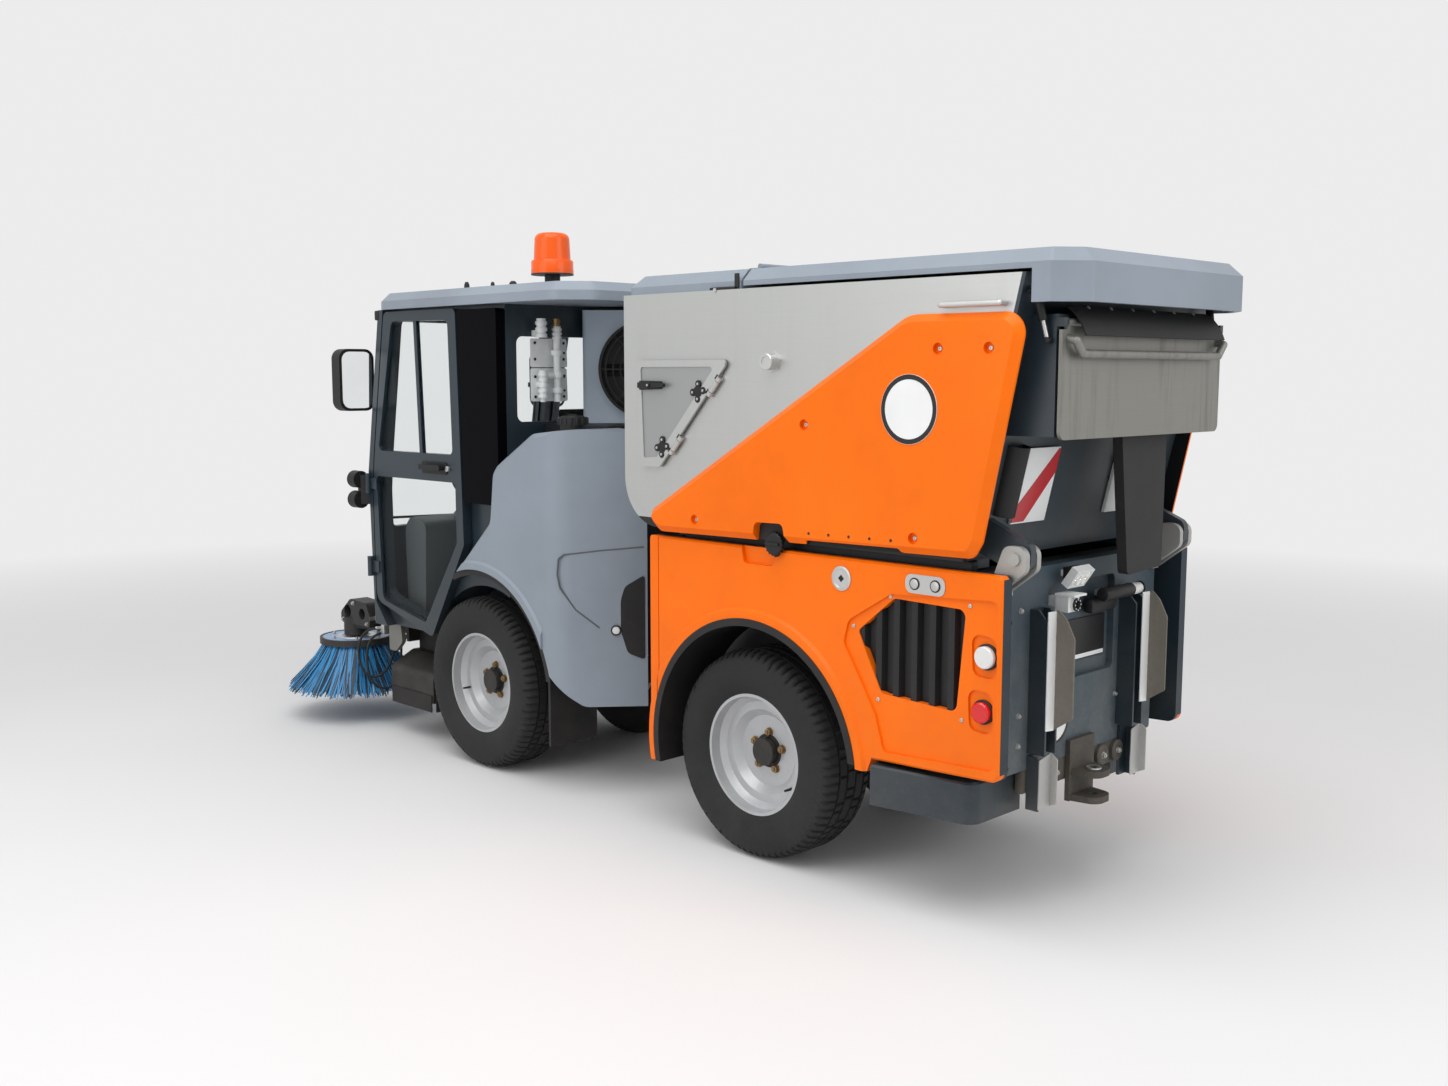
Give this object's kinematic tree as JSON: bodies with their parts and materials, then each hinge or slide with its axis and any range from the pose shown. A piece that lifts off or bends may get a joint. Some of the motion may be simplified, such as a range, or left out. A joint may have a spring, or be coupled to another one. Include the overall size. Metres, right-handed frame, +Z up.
{
  "type": "street sweeper",
  "caption": "Compact articulated street sweeper with glazed cab, tipping hopper, suction mouth and front side brushes.",
  "frame": {"origin": "on the ground under the middle of the machine's bounding box", "axes": "+X forward, +Y to the machine's left, +Z up"},
  "size_m": [4.265, 1.36, 2.1499],
  "materials": {
    "tyre": "matte",
    "wheel_silver": "satin",
    "chassis_black": "satin",
    "orange": "satin",
    "black_plastic": "matte",
    "white_lens": "gloss",
    "red_lens": "gloss",
    "anthracite": "satin",
    "zinc": "satin",
    "white_sheet": "satin",
    "white_plastic": "matte",
    "aluminium_sheet": "brushed",
    "black_rubber": "matte",
    "grey_plastic": "satin",
    "worn_steel": "worn",
    "glass": "clear",
    "dark_glass": "tinted",
    "seat_fabric": "matte",
    "beacon_orange": "gloss",
    "bristle": "matte"
  },
  "bodies": {
    "rear_section": {"rear_frame": "chassis_black", "rear_axle": "chassis_black", "engine": "chassis_black", "side_panels": "orange", "side_grilles": "black_plastic", "rear_arches": "black_plastic", "white_side_lamps": "white_lens", "red_side_lamps": "red_lens", "corner_bumpers": "anthracite", "rear_panel": "anthracite", "attachment_rails": "zinc", "tow_hitch": "zinc", "rear_plates": "white_sheet", "rear_lamp_and_camera": "white_plastic"},
    "front_section": {"front_frame": "chassis_black", "front_axle": "chassis_black", "cab_shell": "anthracite", "cab_glass": "glass", "quarter_panels": "dark_glass", "cab_roof": "grey_plastic", "seat": "seat_fabric", "controls": "black_plastic", "water_tanks": "grey_plastic", "front_arches": "black_plastic", "middle_tower": "chassis_black", "cooler_housing": "grey_plastic", "fan_grille": "black_plastic", "front_fittings": "black_plastic", "beacon": "beacon_orange", "suction_mouth": "chassis_black"},
    "hopper": {"hopper_tub": "aluminium_sheet", "hopper_covers": "orange", "hopper_fittings": "zinc", "hopper_signs": "white_sheet", "rear_buffers": "black_rubber", "front_cap": "grey_plastic"},
    "lid": {"hopper_lid": "grey_plastic"},
    "flap": {"discharge_flap": "worn_steel"},
    "hatch": {"side_hatch": "aluminium_sheet"},
    "left_door": {"door_left": "anthracite", "door_glass_left": "glass"},
    "right_door": {"door_right": "anthracite", "door_glass_right": "glass"},
    "left_arm": {"brush_arm_left": "zinc"},
    "right_arm": {"brush_arm_right": "zinc"},
    "left_brush": {"brush_disc_left": "zinc", "bristles_left": "bristle"},
    "right_brush": {"brush_disc_right": "zinc", "bristles_right": "bristle"},
    "wheel_rear_left": {"tyre_rear_left": "tyre", "rim_rear_left": "wheel_silver"},
    "wheel_rear_right": {"tyre_rear_right": "tyre", "rim_rear_right": "wheel_silver"},
    "wheel_front_left": {"tyre_front_left": "tyre", "rim_front_left": "wheel_silver"},
    "wheel_front_right": {"tyre_front_right": "tyre", "rim_front_right": "wheel_silver"}
  },
  "joints": [
    {"name": "steering", "type": "hinge", "parent": "rear_section", "child": "front_section", "pos_m": [-0.159, 0, 0.47], "axis": [0, 0, 1], "range_deg": [-40, 40]},
    {"name": "wheel_rear_left_spin", "type": "hinge", "parent": "rear_section", "child": "wheel_rear_left", "pos_m": [-0.9375, 0.3895, 0.352], "axis": [0, 1, 0], "continuous": true},
    {"name": "wheel_rear_right_spin", "type": "hinge", "parent": "rear_section", "child": "wheel_rear_right", "pos_m": [-0.9375, -0.3895, 0.352], "axis": [0, 1, 0], "continuous": true},
    {"name": "wheel_front_left_spin", "type": "hinge", "parent": "front_section", "child": "wheel_front_left", "pos_m": [0.6195, 0.3895, 0.352], "axis": [0, 1, 0], "continuous": true},
    {"name": "wheel_front_right_spin", "type": "hinge", "parent": "front_section", "child": "wheel_front_right", "pos_m": [0.6195, -0.3895, 0.352], "axis": [0, 1, 0], "continuous": true},
    {"name": "hopper_tip", "type": "hinge", "parent": "rear_section", "child": "hopper", "pos_m": [-1.9375, 0, 1.1], "axis": [0, -1, 0], "range_deg": [0, 50]},
    {"name": "hopper_lid_hinge", "type": "hinge", "parent": "hopper", "child": "lid", "pos_m": [-0.9215, 0, 1.955], "axis": [0, 1, 0], "range_deg": [0, 45]},
    {"name": "discharge_flap_hinge", "type": "hinge", "parent": "hopper", "child": "flap", "pos_m": [-2.0505, 0, 1.748], "axis": [0, 1, 0], "range_deg": [0, 70]},
    {"name": "side_hatch_hinge", "type": "hinge", "parent": "hopper", "child": "hatch", "pos_m": [-0.5559, 0.541, 1.29192], "axis": [-0.6801, 0, 0.7331], "range_deg": [0, 100]},
    {"name": "left_door_hinge", "type": "hinge", "parent": "front_section", "child": "left_door", "pos_m": [1.4255, 0.502, 1], "axis": [0, 0, -1], "range_deg": [0, 75]},
    {"name": "right_door_hinge", "type": "hinge", "parent": "front_section", "child": "right_door", "pos_m": [1.4255, -0.502, 1], "axis": [0, 0, 1], "range_deg": [0, 75]},
    {"name": "left_arm_swing", "type": "hinge", "parent": "front_section", "child": "left_arm", "pos_m": [1.4695, 0.265, 0.442], "axis": [0, 0, 1], "range_deg": [0, 30]},
    {"name": "right_arm_swing", "type": "hinge", "parent": "front_section", "child": "right_arm", "pos_m": [1.4695, -0.265, 0.442], "axis": [0, 0, -1], "range_deg": [0, 30]},
    {"name": "left_brush_spin", "type": "hinge", "parent": "left_arm", "child": "left_brush", "pos_m": [1.8125, 0.36, 0.363], "axis": [0, 0, 1], "continuous": true},
    {"name": "right_brush_spin", "type": "hinge", "parent": "right_arm", "child": "right_brush", "pos_m": [1.8125, -0.36, 0.363], "axis": [0, 0, 1], "continuous": true}
  ]
}
